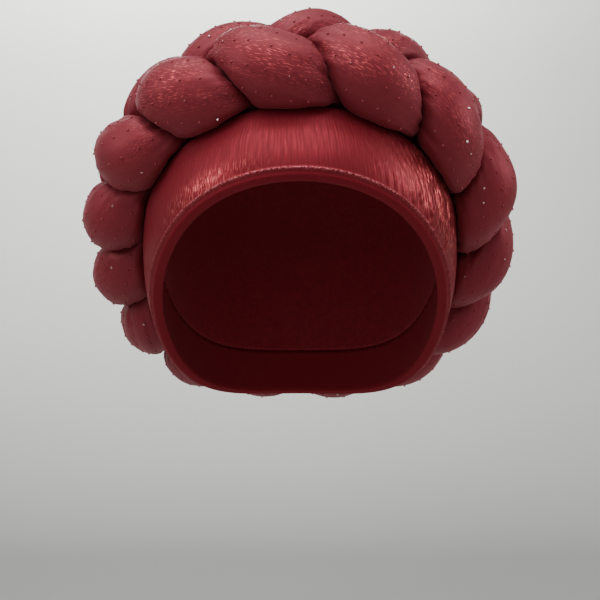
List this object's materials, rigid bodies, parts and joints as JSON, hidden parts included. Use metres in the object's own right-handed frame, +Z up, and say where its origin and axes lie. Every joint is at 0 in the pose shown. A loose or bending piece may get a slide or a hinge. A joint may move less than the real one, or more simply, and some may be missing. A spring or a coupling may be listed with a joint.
{
  "type": "braided turban",
  "caption": "Ready-made turban with a soft crown, a padded pleated head band and a thick plaited ring of stuffed strands around the crown.",
  "frame": {"origin": "inside of the crown's top, where the turban sits on the head", "axes": "+Z up, -Y to the front of the head, +X to the wearer's left"},
  "size_m": [0.2195, 0.2238, 0.1945],
  "materials": {
    "crown_cloth": "matte stretch cloth",
    "pleated_lurex": "finely pleated cloth with metallic thread, satin",
    "stuffed_cloth": "cloth with fine metallic thread, satin, with tiny hot-fix stones"
  },
  "bodies": {
    "root": {"crown": "crown_cloth", "head_band": "pleated_lurex", "braid_strand_1": "stuffed_cloth", "braid_strand_2": "stuffed_cloth", "braid_strand_3": "stuffed_cloth"}
  },
  "joints": []
}
